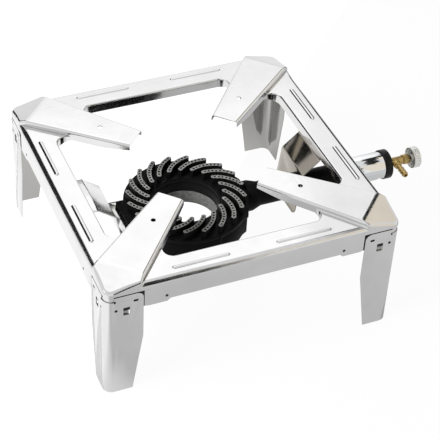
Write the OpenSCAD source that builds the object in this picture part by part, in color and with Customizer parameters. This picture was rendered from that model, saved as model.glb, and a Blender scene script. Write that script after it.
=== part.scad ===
// Free-standing gas burner: a cast iron ring burner with spiral vanes, hung in a
// pressed stainless stand on four angle legs, with its mixing tube, air ring and
// brass needle valve standing out on the +X side. Millimetres, +Z up.

/* [Stand] */
// Outer side of the square stand
stand_side = 400; // [380:1:440]
// Drop of the flat side panels below the arm tops
panel_drop = 7.7; // [5:0.1:12]
// Thickness of the pressed sheet
sheet_t = 1; // [0.8:0.1:1.5]
// Depth of the apron below the side panels
apron_h = 33.3; // [28:0.1:34]
// Extra depth of the apron ears beside the legs
ear_drop = 3.7; // [2:0.1:6]
// Length of each apron ear, from the corner
ear_len = 85; // [70:1:100]
// Width of the side panels, from outer face to window edge
panel_w = 37; // [32:0.5:44]
// Outer bend radius between panel and apron
bend_r = 4.5; // [2.5:0.1:6]
// Plan radius of the corners of stand and legs
corner_r = 12; // [8:0.5:13]
// Depth of the flange turned down round the window
flange_h = 14; // [10:0.5:18]
// Plan radius in the corners of the window
window_r = 13; // [8:0.5:16]
// How far the round window corners run into the arm sides
window_bite = 0.5; // [0.3:0.1:1]
// Length of one pressed bead
bead_len = 79; // [50:1:90]
// Distance from the middle of the side to the near end of a bead
bead_gap = 30; // [20:1:34]
// Distance of the beads from the outer face
bead_in = 16; // [12:0.5:18]
// Radius of the bead section
bead_r = 3; // [2:0.1:4]
// How far a bead stands proud of the panel
bead_rise = 0.9; // [0.4:0.1:1.4]
// Diameter of the small holes in the apron
apron_hole_d = 4; // [3:0.1:5]
// Distance of the apron holes from the corner of the stand
apron_hole_in = 80; // [70:0.5:90]
// Height of the apron holes above the apron's lower edge
apron_hole_up = 5.6; // [4:0.1:12]

/* [Pan arms] */
// Height of the arm tops, where a pan rests
arm_z = 182; // [172:0.1:208]
// Distance from the centre to the arm tips, along the diagonal
arm_tip_u = 91; // [80:0.5:110]
// Flat width of an arm at its tip
arm_tip_w = 30; // [24:0.5:36]
// Flat width of an arm at the crease near the corner
arm_root_w = 56; // [48:0.5:60]
// Radius of the arm shoulders
arm_shoulder_r = 4; // [2:0.1:6]
// Depth of the free arm sides below the panels
arm_wall_h = 6.3; // [3:0.1:10]
// Fall of the corner facet from the crease to the corner
facet_drop = 12.5; // [9:0.5:15]
// Length of the corner facet along the diagonal
facet_len = 37.9; // [34:0.1:41]
// Distance of each arm hole from the centre lines
arm_hole_s = 101.5; // [95:0.5:120]
// Diameter of the arm holes
arm_hole_d = 6.6; // [5:0.1:7.5]

/* [Legs] */
// Thickness of the leg sheet
leg_t = 1; // [0.8:0.1:1.2]
// Width of a leg flange at the top
leg_w = 50; // [44:0.5:54]
// Width of a leg flange at the floor
leg_foot_w = 36.5; // [30:0.5:42]
// Height at which the flanges start to taper
leg_taper_z = 89; // [70:1:110]
// Drop of the leg flanges' tops below the side panels
leg_top_drop = 11.8; // [10:0.1:15]
// Radius of the free top corner of a flange
leg_top_r = 9; // [5:0.5:12]
// Drop of the top of the bend below the flange tops
leg_bend_drop = 7; // [5:0.5:11]
// Radius of the relief notches beside the bend
leg_notch_r = 2.3; // [1.5:0.1:3]
// Gap between a leg and the joggled apron behind it
leg_gap = 0.1; // [0.05:0.01:0.3]
// Distance of the round hole from the bend
leg_hole_s = 2.5; // [2.4:0.1:6]
// Drop of the round hole below the flange tops
leg_hole_drop = 21.5; // [14:0.5:22]
// Radius of the round hole
leg_hole_r = 2; // [1.5:0.1:3]
// Distance of the oblong hole from the free edge of the flange
leg_slot_s = 10; // [7:0.5:13]
// Drop of the oblong hole below the flange tops
leg_slot_drop = 11; // [8:0.5:14]
// Length of the oblong hole
leg_slot_len = 6.5; // [5:0.1:8]
// Width of the oblong hole
leg_slot_w = 3.4; // [2.4:0.1:4.4]
// Distance of the tab window from the corner
tab_s = 28; // [26:0.5:30]
// Width of the tab window
tab_w = 8.5; // [7:0.1:10]
// Gap between the floor of the hooks and the edge of the apron ears
hook_gap = 6.6; // [4:0.1:9]
// Height of the tab window
tab_h = 12.6; // [10:0.1:14]

/* [Brackets] */
// Thickness of the bracket strip
bracket_t = 1.5; // [1.2:0.1:2]
// Width of both brackets
bracket_w = 68; // [60:1:76]
// Bend radius of the brackets
bracket_r = 5; // [3:0.5:7]
// Drop of the tube bracket's slope below the window flange
slope_drop = 20.5; // [16:0.5:26]
// Reach of the tube bracket's slope towards the burner
slope_reach = 22; // [18:0.5:28]
// Height of the lower edge of the tube bracket
tube_bracket_z = 69; // [60:0.5:72]
// Lean of the tube bracket's plate towards the burner
tube_bracket_lean = 8; // [4:0.5:10]
// Radius of the tube bracket's lower corners
tube_bracket_r = 8; // [4:0.5:12]
// Reach of the lug bracket's upper step
step_reach = 12; // [9:0.5:14]
// Drop of the top of its riser below the window flange
riser_drop = 22; // [18:0.5:26]
// Lean of its riser towards the burner
riser_lean = 7; // [4:0.5:10]
// Distance of the foot of its riser from the end of the lug
riser_gap = 14.5; // [12:0.5:20]
// Reach of its shelf past the lug screws
shelf_tail = 6; // [5:0.5:8]
// Gap between its shelf, which is hollowed out, and the round burner body
shelf_gap = 0.6; // [0.4:0.1:1]

/* [Burner] */
// Distance of the burner axis from the middle of the stand, towards -X
burner_off = 15.5; // [12:0.5:20]
// Height of the deck that carries the vanes
deck_z = 111; // [110:0.1:112]
// Thickness of the deck
deck_t = 5; // [4.5:0.1:6]
// Outer radius of the deck
deck_r = 84.5; // [80:0.5:90]
// Distance of the flat nose, on the tube side, beyond the rim of the deck
nose_over = 1; // [0.5:0.5:3]
// Half width of the nose
nose_half_w = 16; // [14:0.5:20]
// Set-back of the shoulders beside the nose from the rim, along the tube
shoulder_back = 16.5; // [15:0.5:18]
// Set-back of the shoulders from the rim, to the side
shoulder_in = 28; // [27:0.5:30]
// Distance from the axis at which the round rim turns towards the shoulders
rim_end = 17; // [14:0.5:22]
// Radius of the centre hole at the deck
eye_r = 45.5; // [44:0.5:46]
// Radius of the centre hole at the ledge in its wall
eye_mid_r = 44.8; // [43:0.1:45]
// Radius of the centre hole below the ledge
eye_low_r = 44; // [40:0.5:44]
// Height of the ledge in the wall of the centre hole
eye_step_z = 89.5; // [86:0.5:94]
// Number of vanes
vane_count = 20; // [16:1:22]
// Radius of the inner ends of the vanes
vane_in_r = 49; // [48:0.5:53]
// Sweep of a vane from its inner to its outer end, in degrees
vane_sweep = 27; // [18:0.5:28]
// Height of the vanes above the deck
vane_h = 11.5; // [8:0.1:14]
// Set-back of the vanes from the rim of the deck
vane_setback = 3; // [1:0.1:4]
// Bow of a vane from the straight
vane_bow = 4.5; // [2:0.1:6]
// Width of a vane
vane_w = 6; // [5:0.1:6.5]
// Swelling of the rounded vane ends, to each side
vane_swell = 0.2; // [0.1:0.05:0.4]
// Angle of the first vane's outer end
vane_start = -4; // [-9:0.5:9]
// Number of gas ports in one vane
port_count = 8; // [5:1:8]
// Diameter of a gas port
port_d = 2.9; // [1.8:0.1:3.2]
// Distance of the end ports from the middle of the rounded vane ends
port_inset = 2.2; // [1.8:0.1:4]
// Height of the underside of the burner body
body_z = 70; // [68:0.5:72]
// Set-back of the body wall from the rim of the deck
body_setback = 1; // [0.8:0.1:2]
// Rounding of the lower edge of the body
body_edge_r = 10; // [6:0.5:12]
// Wall and floor of the gas chamber
chamber_wall = 5.5; // [4.5:0.1:6]
// Wall of the gas chamber at its upper rim, where it widens under the outer ports
rim_wall = 2.5; // [2:0.1:3]
// Half width of the lug on the deck
lug_half_w = 27.5; // [27:0.5:30]
// Reach of the lug beyond the rim of the deck
lug_reach = 5.5; // [5:0.5:9]
// Distance of the lug screws from the centre line
lug_screw_s = 23.5; // [23:0.1:24]
// Distance of the lug screws from the end of the lug
lug_screw_u = 4.2; // [4:0.1:4.5]
// Radius of the circle of the head screws
head_screw_c = 63; // [60:0.5:65]
// Angle of the first head screw, between two vanes
head_screw_a = 22; // [20:0.5:25]

/* [Mixing tube and air ring] */
// Height of the axis of tube and valve
tube_z = 92.5; // [91:0.1:93.5]
// Outer radius of the mixing tube
tube_r = 17; // [16:0.1:17.5]
// Bore radius of the mixing tube
tube_bore_r = 11; // [9:0.1:12]
// Radius of the bore at the mouth of the tube
mouth_r = 15; // [13:0.1:15.5]
// Radius of the neck where the tube leaves the body
neck_r = 21.5; // [19:0.5:24]
// Clearance of the tube in its bracket
tube_gap = 0.6; // [0.4:0.1:1]
// Length of the neck beyond the rim of the deck
neck_len = 9.5; // [8:0.5:14]
// Length over which the neck narrows to the tube
neck_taper = 13; // [8:0.5:18]
// Length over which the tube widens to its mouth
bell_taper = 8; // [5:0.5:12]
// Length over which the bore widens to its mouth, before the sleeve
bell_len = 30; // [20:0.5:40]
// Length of the tube's mouth inside the sleeve
mouth_len = 24; // [18:0.5:30]
// Straight land of the bore at the mouth
mouth_land = 2; // [1:0.5:4]
// Distance of the chromed sleeve from the outer face of the stand
sleeve_out = 22; // [15:0.5:28]
// Length of the chromed sleeve
sleeve_len = 70; // [64:0.5:76]
// Outer radius of the sleeve
sleeve_r = 19.5; // [18.5:0.1:21]
// Wall of the sleeve
sleeve_t = 1.2; // [0.8:0.1:1.5]
// Clearance between sleeve and tube mouth
sleeve_gap = 0.1; // [0.05:0.01:0.2]
// Length of the air windows in the sleeve
air_window_len = 10; // [7:0.5:10.5]
// Width of the air windows
air_window_w = 15; // [10:0.5:18]
// Angle of the air windows to either side of straight down
air_window_a = 40; // [32:1:60]
// Lap of the black air ring over the length of the air windows
ring_lap = 1; // [0.5:0.1:3]
// Wall of the air ring
ring_wall = 1.42; // [1:0.01:2.5]
// Running clearance of the air ring on the sleeve
ring_fit = 0.08; // [0.03:0.01:0.1]
// Distance of the sleeve screw from the start of the sleeve
sleeve_screw_in = 12; // [8:0.5:14]
// Radius of the sleeve screw
sleeve_screw_r = 2; // [1.5:0.1:2.5]
// Radius of the sleeve screw's head
sleeve_screw_head_r = 3.6; // [3:0.1:4.5]

/* [Valve] */
// Length of the valve barrel
barrel_len = 30; // [28:0.5:34]
// Radius of the valve barrel
barrel_r = 6; // [5.6:0.1:6.6]
// Radius of the valve shoulder that seats on the sleeve
shoulder_r = 7.5; // [7:0.1:9]
// Thickness of the shoulder at its rim
shoulder_t = 2.5; // [1.5:0.1:4]
// Length of the slope from the shoulder to the barrel
shoulder_slope = 1.5; // [1:0.1:2.5]
// Radius of the valve's threaded spigot, inside the sleeve
spigot_r = 5; // [4.5:0.1:5.5]
// Length of the spigot
spigot_len = 8; // [7:0.5:10]
// Thickness of the lock nut on the spigot
nut_len = 5; // [4:0.5:6]
// Radius of the lock nut over its corners
nut_r = 7.5; // [7:0.1:9]
// Radius of the needle seat
seat_r = 1.5; // [1.2:0.1:1.8]
// Distance of the needle seat from the sleeve's end
seat_in = 8; // [6:0.5:9]
// Length of the slope from the seat to the valve chamber
seat_slope = 1.5; // [1:0.1:2]
// Clearance of the stem's thread in the valve chamber
chamber_gap = 0.3; // [0.2:0.05:0.5]
// Length of the threaded guide and packing space at the barrel's end
guide_len = 12; // [11:0.5:13]
// Depth of the packing space
packing_len = 3; // [2:0.1:4]
// Wall between packing and gland thread
packing_wall = 1; // [0.8:0.1:1.2]
// Step from the barrel down to the gland thread
gland_step = 0.8; // [0.5:0.1:1]
// Length of the gland thread
gland_in = 5; // [4:0.5:6]
// Length of the gland nut
gland_len = 10; // [8:0.5:12]
// Radius of the gland nut over its corners
gland_r = 7.5; // [7:0.1:9]
// Chamfer on the outer end of the gland nut
gland_chamfer = 1.2; // [0.6:0.1:2]
// Depth of that chamfer into the nut's corners
gland_cone = 1.8; // [1:0.1:2.4]
// End gap of screwed and seated pieces
seat_gap = 0.2; // [0.1:0.05:0.3]
// Radius of the jet's threaded root
jet_r = 3; // [2.6:0.1:3.2]
// Length of the jet's threaded root
jet_root_len = 5; // [4:0.5:6]
// Radius of the jet's head
jet_head_r = 4.2; // [3.8:0.1:4.6]
// Length of the jet's head
jet_head_len = 9; // [7:0.5:10]
// Length of the jet's cone
jet_cone_len = 5; // [4:0.5:6]
// Radius of the jet's tip
jet_tip_r = 2.1; // [1.8:0.1:2.4]
// Bore radius of the jet
jet_bore = 1.6; // [1.2:0.1:1.8]
// Radius of the jet's fine hole
jet_hole = 0.6; // [0.4:0.05:0.8]
// Length of the jet's fine hole
jet_hole_len = 2; // [1:0.5:3]
// Distance of the hose barb from the sleeve's end
barb_in = 13; // [11:0.5:14]
// Reach of the hose barb from the valve axis
barb_reach = 34; // [33:0.5:40]
// Length of the boss that takes the hose barb, from the valve axis
boss_len = 9; // [8:0.5:10]
// Set-back of the boss and the barb's collar from the barrel's radius
boss_setback = 0.3; // [0.2:0.1:0.6]
// Radius of the barb's threaded root
barb_root_r = 3.2; // [3:0.1:3.6]
// Length of the barb's threaded root
barb_root_len = 4.4; // [3:0.1:5]
// Thickness of the barb's collar
collar_t = 2.5; // [1.5:0.1:3.5]
// Length of the slopes of collar, ridges and tip
barb_slope = 0.6; // [0.4:0.1:1]
// Radius over the ridges of the hose barb
barb_r = 4.5; // [4:0.1:5]
// Depth of the grooves between the ridges
barb_groove = 0.9; // [0.6:0.1:1.2]
// Number of ridges
ridge_count = 3; // [2:1:4]
// Pitch of the ridges
ridge_pitch = 5.5; // [5:0.1:6]
// Length of the plain tip before the first ridge
barb_tip = 1.5; // [1:0.1:2.5]
// Length of the plain groove behind each ridge
groove_len = 2; // [1:0.1:2.5]
// Length of the cylindrical land on each ridge
land = 1.2; // [0.8:0.1:1.6]
// Bore radius of the hose barb
barb_bore_r = 2.2; // [1.8:0.1:2.5]
// Radius of the valve stem
stem_r = 2.5; // [2.2:0.1:2.8]
// Height of the stem's thread above its shaft
stem_thread_h = 0.5; // [0.4:0.1:0.7]
// Length of the stem's thread
thread_len = 5.5; // [4:0.5:6]
// Distance of the stem's thread from the inner end of its guide
thread_in = 1; // [0.5:0.1:1.5]
// Length of the needle's point
needle_len = 2.5; // [2:0.1:4]
// Radius of the needle's tip
needle_tip_r = 0.4; // [0.2:0.1:0.6]
// Gap between needle and seat
needle_gap = 0.15; // [0.1:0.01:0.2]
// Step from the needle to the stem behind it
needle_step = 0.6; // [0.4:0.1:0.8]
// Running clearance of the stem
stem_fit = 0.05; // [0.02:0.01:0.1]
// Radius of the knob
knob_r = 15.2; // [13:0.1:18]
// Length of the knob
knob_len = 11; // [9:0.5:14]
// Wall of the knob's rim
knob_wall = 2; // [1.5:0.1:2.5]
// Thickness of the knob's face
knob_face = 2.4; // [1.8:0.1:3]
// Radius of the knob's hub
knob_hub_r = 5; // [4.5:0.1:6]
// Chamfer round the outer face of the knob
knob_chamfer = 1; // [0.5:0.1:1.5]
// Chamfer round the inner rim of the knob
knob_rim_chamfer = 0.6; // [0.3:0.1:1]
// Number of grip grooves round the knob
knob_grooves = 40; // [24:2:48]
// Radius of one grip groove
groove_r = 0.7; // [0.4:0.05:0.8]
// Height of the groove centres above the knob's rim
groove_up = 0.25; // [0.1:0.05:0.4]
// Gap between gland nut and knob hub
knob_gap = 2.5; // [2:0.1:4]
// Thread radius of the knob screw
knob_screw_r = 1.3; // [1.1:0.1:1.5]
// Depth of the knob screw's hole in the stem
knob_screw_len = 7; // [5:0.5:9]
// Radius of the knob screw's head
knob_screw_head_r = 3.1; // [2.6:0.1:3.6]
// Height of the knob screw's head
knob_screw_h = 1.8; // [1.4:0.1:2.4]
// Width of the knob screw's slot
knob_slot_w = 0.8; // [0.6:0.1:1]

/* [Fasteners] */
// Thread radius of the M5 screws
m5_r = 2.5; // [2.5:0.1:2.6]
// Clearance of a screw in its hole
screw_gap = 0.1; // [0.05:0.01:0.2]
// Metal left over the end of a blind screw hole, and free depth below it
screw_left = 1; // [0.8:0.1:1.5]
// Radius of the bosses round the head screws
boss_r = 5.2; // [5:0.1:6]
// Thickness of a screw head
screw_head_h = 3; // [2.5:0.1:4]
// Radius of a screw head
screw_head_r = 4.3; // [4:0.1:4.6]
// Thickness of the spring washers
washer_t = 1.4; // [1:0.1:1.6]
// Outer radius of the spring washers
washer_r = 4.8; // [4.5:0.1:5]
// Free space between the two castings beside the neck
head_gap = 0.5; // [0.3:0.1:1]
// Width of the joggle's slope beside and above the legs
joggle_gap = 1.2; // [0.6:0.1:2]
// Side clearance of the hooks in their tab windows
hook_side_gap = 0.75; // [0.5:0.05:1]

/* [Hidden] */
$fn = 96;
bend_steps = 6;
hex = 6;
over = 1;
big = 300;

half = stand_side / 2;
panel_z = arm_z - panel_drop;
apron_z = panel_z - apron_h;
ear_z = apron_z - ear_drop;
flange_z = panel_z - flange_h;
window_s = half - panel_w;

arm_crease_u = sqrt(2) * half - (sqrt(2) - 1) * corner_r - facet_len;
arm_taper = atan2((arm_root_w - arm_tip_w) / 2, arm_crease_u - arm_tip_u);
facet_slope = atan2(facet_drop, facet_len);

leg_top_z = panel_z - leg_top_drop;
leg_bend_z = leg_top_z - leg_bend_drop;
tab_z = ear_z - hook_gap;
joggle = leg_t + leg_gap;
joggle_s = half - leg_w - joggle_gap;
joggle_z = leg_top_z + joggle_gap / 2;

burner_x = -burner_off;
deck_low_z = deck_z - deck_t;
body_r = deck_r - body_setback;
chamber_low_z = body_z + chamber_wall;
screw_bite = deck_t - screw_left;
lug_end = deck_r + lug_reach;
lug_screw_at = lug_end - lug_screw_u;

sleeve_start_x = half + sleeve_out;
sleeve_end_x = sleeve_start_x + sleeve_len;
sleeve_in_r = sleeve_r - sleeve_t - sleeve_gap;
sleeve_screw_x = sleeve_start_x + sleeve_screw_in;
tube_end_x = sleeve_start_x + mouth_len;
neck_end_x = burner_x + deck_r + neck_len;
ring_len = air_window_len + ring_lap;

valve_x = sleeve_end_x;
barrel_end_x = valve_x + barrel_len;
seat_x = valve_x + seat_in;
chamber_x = seat_x + seat_slope;
guide_x = barrel_end_x - guide_len;
packing_x = barrel_end_x - packing_len;
gland_thread_r = barrel_r - gland_step;
packing_r = gland_thread_r - packing_wall;
gland_x = barrel_end_x - gland_in;
barb_x = valve_x + barb_in;
boss_outer_r = barrel_r - boss_setback;
collar_r = boss_outer_r - boss_setback;
shank_r = barb_r - barb_groove;
stem_thread_r = stem_r + stem_thread_h;
thread_x = guide_x + thread_in;
knob_x = gland_x + gland_len + knob_gap;
knob_end_x = knob_x + knob_len;
stem_end_x = knob_end_x - knob_face / 2;
right_x = knob_end_x + knob_screw_h;
mid_x = (right_x - half) / 2;

// The origin is the middle of the footprint box, on the floor
module placed() {
    translate([-mid_x, 0, 0]) children();
}

// Repeats a shape of the (+X, +Y) corner at all four corners
module four_corners() {
    for (turn = [0 : 90 : 270]) rotate(turn) children();
}

// Turned shape about the valve axis; points are [radius, x]
module turned(points) {
    translate([0, 0, tube_z]) rotate([0, 90, 0]) rotate_extrude() polygon(points);
}

function unit(a, b) = (b - a) / norm(b - a);
function left_of(d) = [-d[1], d[0]];

// One bend of a strip: an arc of radius r in place of corner b
function bend(a, b, c, r) =
    let (d0 = unit(a, b), d1 = unit(b, c), turn = acos(d0 * d1), side = sign(cross(d0, d1)))
    let (start = b - d0 * r * tan(turn / 2), arm = -side * r * left_of(d0))
    [for (k = [0 : bend_steps]) let (w = turn * k / bend_steps)
        start - arm + arm * cos(w) + left_of(arm) * side * sin(w)];

// Path of a strip with all its inner corners bent
function bent(path, r) =
    let (last = len(path) - 1)
    concat([path[0]], [for (i = [1 : last - 1]) each bend(path[i - 1], path[i], path[i + 1], r)], [path[last]]);

// Point of a strip's side, h to the left of the path
function beside(path, i, h) =
    let (last = len(path) - 1)
    let (d0 = i == 0 ? unit(path[0], path[1]) : unit(path[i - 1], path[i]))
    let (d1 = i == last ? d0 : unit(path[i], path[i + 1]), m = left_of(d0) + left_of(d1))
    path[i] + m * 2 * h / (m * m);

// Section of a strip of thickness t along a path
module strip(path, t) {
    last = len(path) - 1;
    polygon(concat([for (i = [0 : last]) beside(path, i, t / 2)],
                   [for (i = [last : -1 : 0]) beside(path, i, -t / 2)]));
}

// Plan of the stand, set in by d from its outer face
module stand_plan(d) {
    side = stand_side - 2 * d;
    r = corner_r - d;
    square([side, side - 2 * r], center = true);
    square([side - 2 * r, side], center = true);
    four_corners() translate([side / 2 - r, side / 2 - r]) circle(r);
}

// Upright section across the stand: straight aprons, bent into the panel
module stand_section(d) {
    r = bend_r - d;
    wide = half - d;
    translate([-wide, 0]) square([2 * wide, panel_z - bend_r]);
    translate([r - wide, 0]) square([2 * (wide - r), panel_z - d]);
    for (s = [-1, 1]) translate([s * (wide - r), panel_z - bend_r]) circle(r);
}

// Solid box of apron and panels, set in by d
module pan_box(d) {
    intersection() {
        translate([0, 0, ear_z - d]) linear_extrude(panel_z) stand_plan(d);
        rotate([90, 0, 0]) linear_extrude(stand_side, center = true) stand_section(d);
        rotate([90, 0, 90]) linear_extrude(stand_side, center = true) stand_section(d);
    }
}

// Side of an arm seen in plan: its direction, and the normal out of the arm
arm_line_a = 45 - arm_taper;
arm_line_n = [sin(arm_line_a), -cos(arm_line_a)];
arm_line_p = [arm_tip_u + arm_tip_w / 2, arm_tip_u - arm_tip_w / 2] / sqrt(2) + arm_shoulder_r * arm_line_n;
lobe_x = window_s - window_r;
lobe_rise = (lobe_x - arm_line_p[0]) * sin(arm_line_a) - window_r + window_bite;
lobe_y = arm_line_p[1] + lobe_rise / cos(arm_line_a);

// Window in the panels: four lobes between the arms, grown by d
module window_plan(d) {
    r = window_r + d;
    c = [lobe_x, lobe_y];
    a = c - r * arm_line_n;
    four_corners() {
        polygon([[0, 0], [a[0], -a[1]], [c[0], -c[1]], [c[0] + r, -c[1]], [c[0] + r, c[1]], c, a]);
        polygon([[0, 0], a, [a[1], a[0]]]);
        for (s = [-1, 1]) translate([c[0], s * c[1]]) circle(r);
    }
}

// One half of an arm, u along +X: flat top, rounded shoulder and straight side
module arm_half(d, low_z) {
    r = arm_shoulder_r - d;
    reach = big;
    intersection() {
        translate([arm_tip_u, arm_tip_w / 2, 0]) rotate(arm_taper) translate([-arm_tip_u / 2, 0, 0])
            rotate([90, 0, 90]) linear_extrude(reach) {
                translate([-half, low_z]) square([half, arm_z - d - low_z]);
                translate([-half, low_z]) square([half + r, arm_z - arm_shoulder_r - low_z]);
                translate([0, arm_z - arm_shoulder_r]) circle(r);
            }
        translate([arm_tip_u - d, 0, 0]) cube([big, half, big]);
    }
}

// The four arms, set in by d, down to low_z, ending at the outer face
module arms(d, low_z) {
    intersection() {
        four_corners() rotate(45) {
            arm_half(d, low_z);
            mirror([0, 1, 0]) arm_half(d, low_z);
        }
        linear_extrude(big) stand_plan(d);
    }
}

// Everything above the sloping corner facets
module above_facets(d) {
    four_corners() rotate(45) translate([arm_crease_u, 0, arm_z]) rotate([0, facet_slope, 0])
        translate([-big / 2, -big / 2, -d]) cube([big, big, big / 4]);
}

// Space outside the joggled corners that the legs fill
module leg_seats(d) {
    four_corners() difference() {
        translate([joggle_s - d, joggle_s - d, 0]) cube([big, big, joggle_z + d]);
        linear_extrude(big) stand_plan(d + joggle);
    }
}

// Filled shape of the pressed top, set in by d; arm sides run down to low_z
module stand_solid(d, low_z) {
    difference() {
        union() {
            difference() {
                pan_box(d);
                linear_extrude(big) window_plan(d);
            }
            arms(d, low_z);
        }
        above_facets(d);
        leg_seats(d);
    }
}

// Pressed bead on the +X panel, both of its halves
module beads() {
    for (s = [-1, 1]) translate([half - bead_in, s * (bead_gap + bead_len / 2), panel_z + bead_rise - bead_r])
        intersection() {
            union() {
                rotate([90, 0, 0]) cylinder(h = bead_len - 2 * bead_r, r = bead_r, center = true);
                for (e = [-1, 1]) translate([0, e * (bead_len / 2 - bead_r), 0]) sphere(bead_r);
            }
            translate([-bead_r, -bead_len, bead_r - bead_rise - sheet_t / 2])
                cube([2 * bead_r, 2 * bead_len, 2 * bead_r]);
        }
}

// Holes that a leg flange and the apron behind it share, as [distance from corner, height]
module leg_holes_plan() {
    translate([corner_r + leg_hole_s, leg_top_z - leg_hole_drop]) circle(leg_hole_r);
    translate([leg_w - leg_slot_s, leg_top_z - leg_slot_drop]) {
        square([leg_slot_len - leg_slot_w, leg_slot_w], center = true);
        for (s = [-1, 1]) translate([s * (leg_slot_len - leg_slot_w) / 2, 0]) circle(leg_slot_w / 2);
    }
}

// Puts a plan drawn as [distance from corner, height] on the two faces of the (+X, +Y) corner
module on_corner_faces(depth) {
    for (swap = [0, 1]) mirror([swap, -swap, 0])
        translate([half, half, 0]) rotate([90, 0, 0]) linear_extrude(depth) mirror([1, 0]) children();
}

module stand_frame() color("gainsboro") placed() {
    difference() {
        union() {
            difference() {
                stand_solid(0, panel_z - arm_wall_h);
                stand_solid(sheet_t, 0);
                translate([0, 0, -over]) linear_extrude(flange_z + over)
                    square(2 * (half - bead_in), center = true);
            }
            four_corners() beads();
        }
        four_corners() {
            rotate([90, 0, 90]) linear_extrude(half + over)
                polygon([[ear_len - half, ear_z - over], [ear_len - half + ear_drop, apron_z],
                         [half - ear_len - ear_drop, apron_z], [half - ear_len, ear_z - over]]);
            on_corner_faces(4 * sheet_t) {
                leg_holes_plan();
                translate([apron_hole_in, apron_z + apron_hole_up]) circle(apron_hole_d / 2);
            }
            translate([arm_hole_s, arm_hole_s, panel_z]) cylinder(h = arm_z, r = arm_hole_d / 2);
        }
    }
}

// Outline of one leg flange as [distance from corner, height]
module leg_flange_plan() {
    difference() {
        union() {
            polygon([[corner_r, 0], [leg_foot_w, 0], [leg_w, leg_taper_z], [leg_w, leg_top_z - leg_top_r],
                     [leg_w - leg_top_r, leg_top_z], [corner_r, leg_top_z]]);
            translate([leg_w - leg_top_r, leg_top_z - leg_top_r]) circle(leg_top_r);
        }
        leg_holes_plan();
        translate([tab_s - tab_w / 2, tab_z]) square([tab_w, tab_h]);
        translate([corner_r, leg_bend_z]) circle(leg_notch_r);
    }
}

// Angle leg of the (+X, +Y) corner, with a hook from each tab window round the apron's edge
module leg() {
    hook_depth = joggle + sheet_t + leg_gap;
    hook_w = tab_w - 2 * hook_side_gap;
    on_corner_faces(leg_t) leg_flange_plan();
    translate([half - corner_r, half - corner_r, 0]) rotate_extrude(angle = 90)
        translate([corner_r - leg_t, 0]) square([leg_t, leg_bend_z]);
    for (swap = [0, 1]) mirror([swap, -swap, 0]) translate([half - tab_s - hook_w / 2, half, tab_z - leg_t]) {
        translate([0, -hook_depth - leg_t, 0]) cube([hook_w, hook_depth + leg_t / 2, leg_t]);
        translate([0, -hook_depth - leg_t, 0]) cube([hook_w, leg_t, tab_h - leg_t]);
    }
}

module leg_rear_right() color("silver") placed() leg();
module leg_rear_left() color("silver") placed() rotate(90) leg();
module leg_front_left() color("silver") placed() rotate(180) leg();
module leg_front_right() color("silver") placed() rotate(270) leg();

// Strip of the brackets behind the window flange, as [reach inwards, height]
bracket_back = -sheet_t - bracket_t / 2 - leg_gap;
bracket_turn_z = flange_z - bracket_t - bracket_r / 2;
shelf_z = deck_low_z - bracket_t / 2;
riser_reach = window_s - burner_off - lug_end - riser_gap;
shelf_reach = window_s - burner_off - lug_screw_at + shelf_tail;
lug_bracket_path = [[bracket_back, panel_z - bend_r], [bracket_back, bracket_turn_z],
                    [step_reach, bracket_turn_z], [riser_reach - riser_lean, flange_z - riser_drop],
                    [riser_reach, shelf_z], [shelf_reach, shelf_z]];
slope_end = [slope_reach, bracket_turn_z - slope_drop];
tube_bracket_path = [[bracket_back, panel_z - bend_r], [bracket_back, bracket_turn_z], slope_end,
                     [slope_end[0] + tube_bracket_lean, tube_bracket_z]];

module lug_bracket() color("lightgray") placed() {
    difference() {
        translate([-window_s, 0, 0]) rotate([90, 0, 0]) linear_extrude(bracket_w, center = true)
            strip(bent(lug_bracket_path, bracket_r), bracket_t);
        translate([burner_x, 0, shelf_z]) {
            cylinder(h = 4 * bracket_t, r = body_r + shelf_gap, center = true);
            for (s = [-1, 1]) translate([-lug_screw_at, s * lug_screw_s, 0])
                cylinder(h = 4 * bracket_t, r = m5_r + screw_gap, center = true);
        }
    }
}

module tube_bracket() color("lightgray") placed() {
    rise = panel_z - tube_bracket_z;
    difference() {
        translate([window_s, 0, 0]) rotate([90, 0, 180]) linear_extrude(bracket_w, center = true)
            strip(bent(tube_bracket_path, bracket_r), bracket_t);
        translate([0, 0, tube_z]) rotate([0, 90, 0]) cylinder(h = half, r = tube_r + tube_gap);
        for (s = [-1, 1]) translate([0, s * (bracket_w / 2 - tube_bracket_r), tube_bracket_z + tube_bracket_r])
            rotate([90, 0, 90]) linear_extrude(half) difference() {
                translate([s > 0 ? 0 : -rise, -rise]) square(rise);
                circle(tube_bracket_r);
            }
    }
}

// Plan of the burner: a round ring whose tube side is squared off, set in by d
module burner_plan(d) {
    nose = deck_r + nose_over - d;
    shoulder = [deck_r - shoulder_back - d, deck_r - shoulder_in - d];
    circle(deck_r - d);
    for (s = [-1, 1]) polygon([[0, 0], [nose, 0], [nose, s * (nose_half_w - d)],
                               [shoulder[0], s * shoulder[1]], [rim_end - d, s * (deck_r - d)]]);
}

// The eye through the middle of the burner, as a turned space
module eye() {
    rotate_extrude() polygon([[0, body_z - over], [eye_low_r, body_z - over], [eye_low_r, eye_step_z],
                              [eye_mid_r, eye_step_z], [eye_r, deck_z], [eye_r, deck_z + over],
                              [0, deck_z + over]]);
}

module at_head_screws() {
    for (turn = [0 : 90 : 270]) rotate(head_screw_a + turn) translate([head_screw_c, 0, 0]) children();
}

// Gas chamber: a ring channel, open to the head, round the bosses of the head screws
module gas_chamber() {
    inner = eye_r + chamber_wall;
    outer = body_r - chamber_wall;
    rim = body_r - rim_wall;
    difference() {
        rotate_extrude() polygon([[inner, chamber_low_z], [outer, chamber_low_z],
                                  [outer, deck_low_z - chamber_wall], [rim, deck_low_z], [rim, deck_z],
                                  [inner, deck_z]]);
        at_head_screws() cylinder(h = big, r = boss_r);
    }
}

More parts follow.
